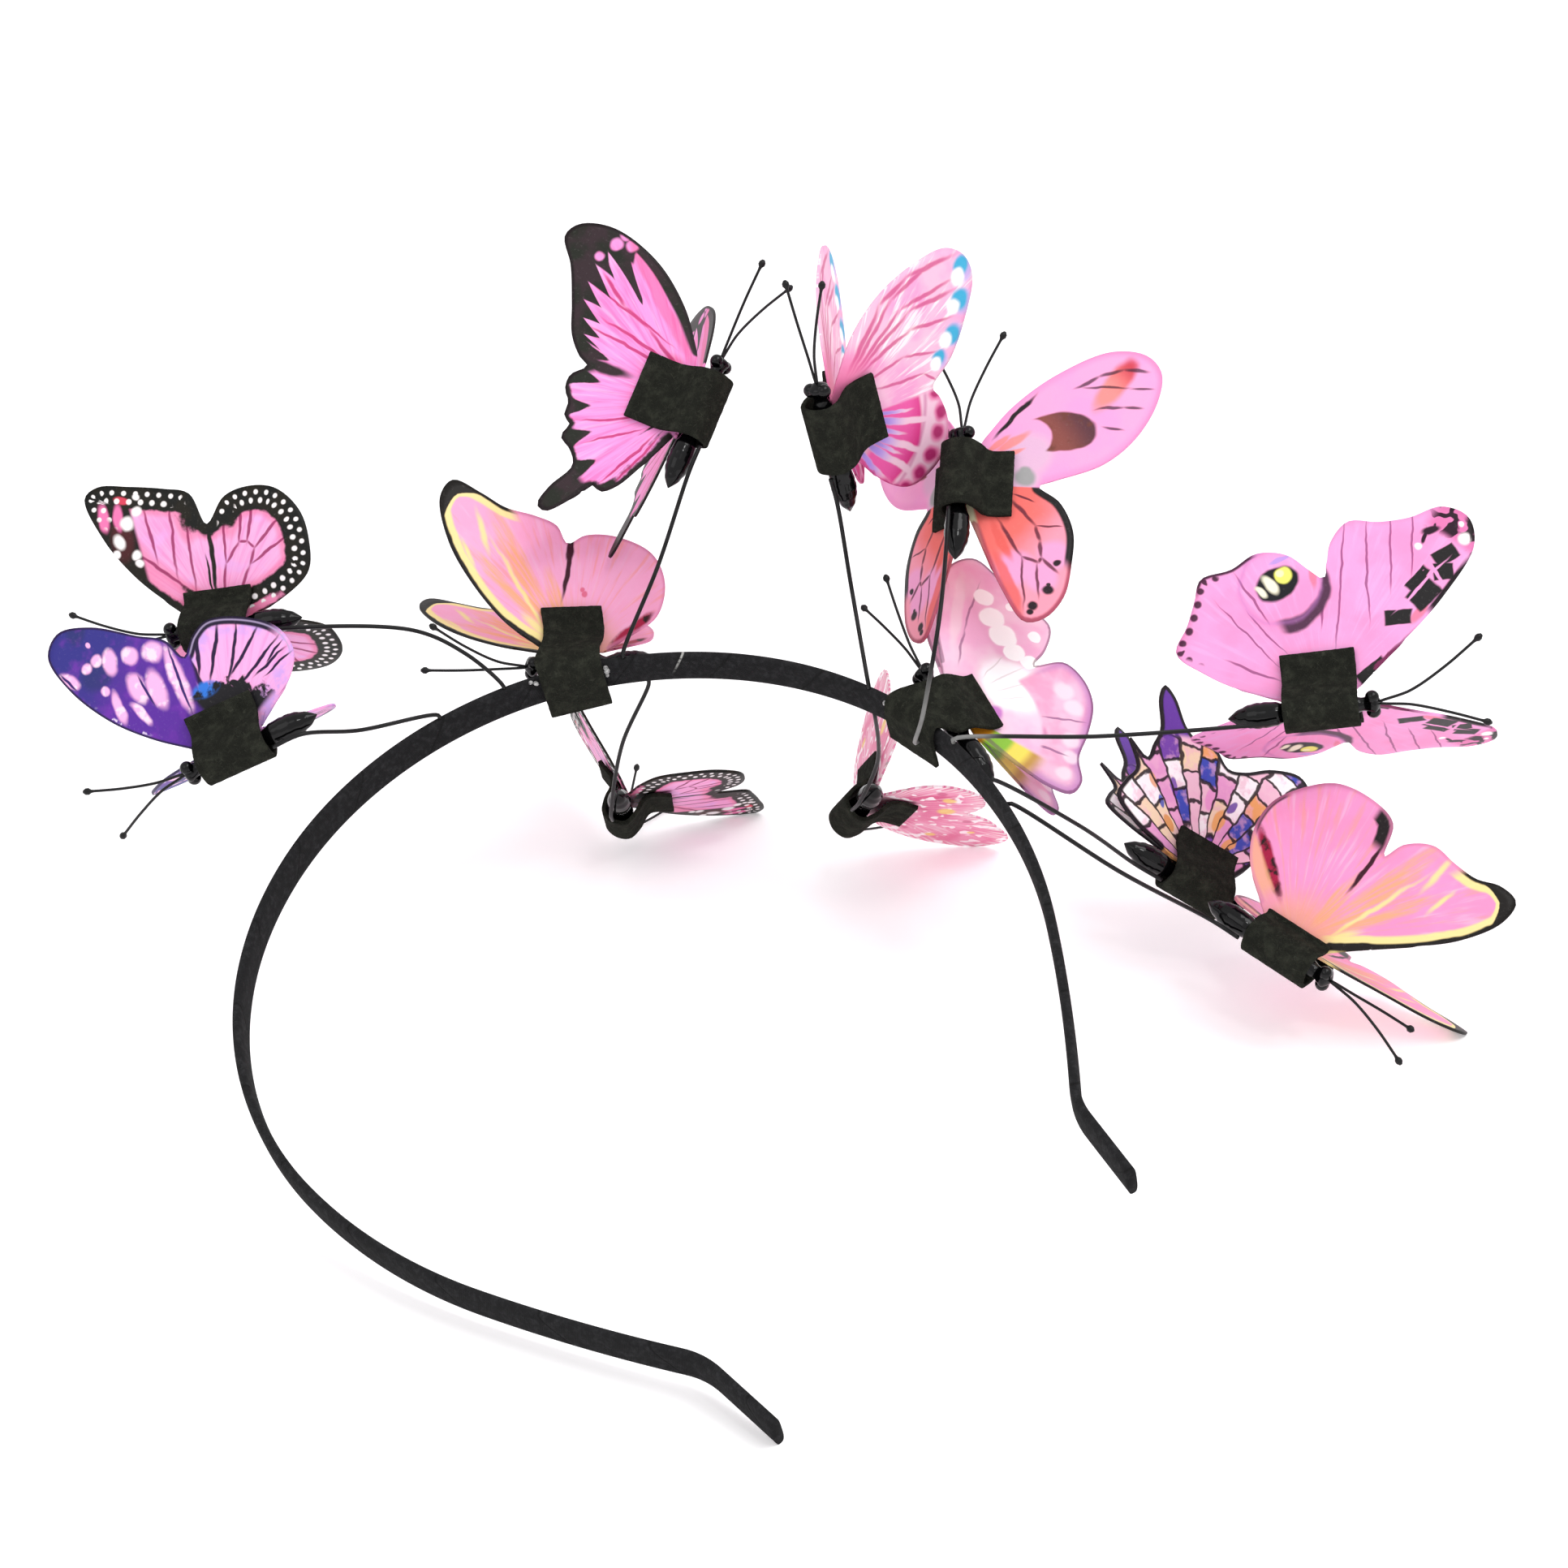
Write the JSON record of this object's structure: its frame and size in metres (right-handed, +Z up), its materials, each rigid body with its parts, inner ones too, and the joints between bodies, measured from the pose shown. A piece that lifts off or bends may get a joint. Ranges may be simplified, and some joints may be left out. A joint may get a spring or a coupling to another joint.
{
  "type": "butterfly headband",
  "caption": "Open band for the head, wound in dark fabric, with printed plastic butterflies strapped on it and standing off it on thin wire stems.",
  "frame": {"origin": "middle of the underside of the whole piece, on the table that it lies on", "axes": "+X to the right as the piece is seen, +Y away from the viewer, +Z up from the table"},
  "size_m": [0.2424, 0.1992, 0.1194],
  "materials": {
    "band_fabric": "charcoal fabric wound slantwise round the band, matte",
    "body_gloss": "gloss black moulded bead",
    "antenna_wire": "black coated thin wire, satin",
    "felt": "black felt with a slight green cast, matte",
    "stem_wire": "black coated thin wire, slight gloss",
    "monarch_print": "printed plastic film, satin, pink pattern in the manner of a real butterfly",
    "indigo_print": "printed plastic film, satin, violet and pink pattern in the manner of a real butterfly",
    "blush_print": "printed plastic film, satin, pink pattern in the manner of a real butterfly",
    "swallowtail_print": "printed plastic film, satin, pink pattern in the manner of a real butterfly",
    "dotted_print": "printed plastic film, satin, pink pattern in the manner of a real butterfly",
    "crescent_print": "printed plastic film, satin, pink pattern in the manner of a real butterfly",
    "pearl_print": "printed plastic film, satin, pink pattern in the manner of a real butterfly",
    "peacock_print": "printed plastic film, satin, pink pattern in the manner of a real butterfly",
    "tailed_print": "printed plastic film, satin, pink pattern in the manner of a real butterfly",
    "petal_print": "printed plastic film, satin, pink pattern in the manner of a real butterfly",
    "resting_print": "printed plastic film, satin, pink pattern in the manner of a real butterfly",
    "speckled_print": "printed plastic film, satin, pink pattern in the manner of a real butterfly"
  },
  "bodies": {
    "root": {"headband_band": "band_fabric", "monarch_wings": "monarch_print", "monarch_body": "body_gloss", "monarch_antennae": "antenna_wire", "monarch_felt": "felt", "monarch_wire": "stem_wire", "indigo_wings": "indigo_print", "indigo_body": "body_gloss", "indigo_antennae": "antenna_wire", "indigo_felt": "felt", "indigo_wire": "stem_wire", "blush_wings": "blush_print", "blush_body": "body_gloss", "blush_antennae": "antenna_wire", "blush_felt": "felt", "swallowtail_wings": "swallowtail_print", "swallowtail_body": "body_gloss", "swallowtail_antennae": "antenna_wire", "swallowtail_felt": "felt", "swallowtail_wire": "stem_wire", "dotted_wings": "dotted_print", "dotted_body": "body_gloss", "dotted_antennae": "antenna_wire", "dotted_felt": "felt", "dotted_wire": "stem_wire", "crescent_wings": "crescent_print", "crescent_body": "body_gloss", "crescent_antennae": "antenna_wire", "crescent_felt": "felt", "crescent_wire": "stem_wire", "pearl_wings": "pearl_print", "pearl_body": "body_gloss", "pearl_antennae": "antenna_wire", "pearl_felt": "felt", "peacock_wings": "peacock_print", "peacock_body": "body_gloss", "peacock_antennae": "antenna_wire", "peacock_felt": "felt", "peacock_wire": "stem_wire", "tailed_wings": "tailed_print", "tailed_body": "body_gloss", "tailed_antennae": "antenna_wire", "tailed_felt": "felt", "tailed_wire": "stem_wire", "petal_wings": "petal_print", "petal_body": "body_gloss", "petal_antennae": "antenna_wire", "petal_felt": "felt", "petal_wire": "stem_wire", "resting_wings": "resting_print", "resting_body": "body_gloss", "resting_antennae": "antenna_wire", "resting_felt": "felt", "resting_wire": "stem_wire", "speckled_wings": "speckled_print", "speckled_body": "body_gloss", "speckled_antennae": "antenna_wire", "speckled_felt": "felt", "speckled_wire": "stem_wire"}
  },
  "joints": []
}
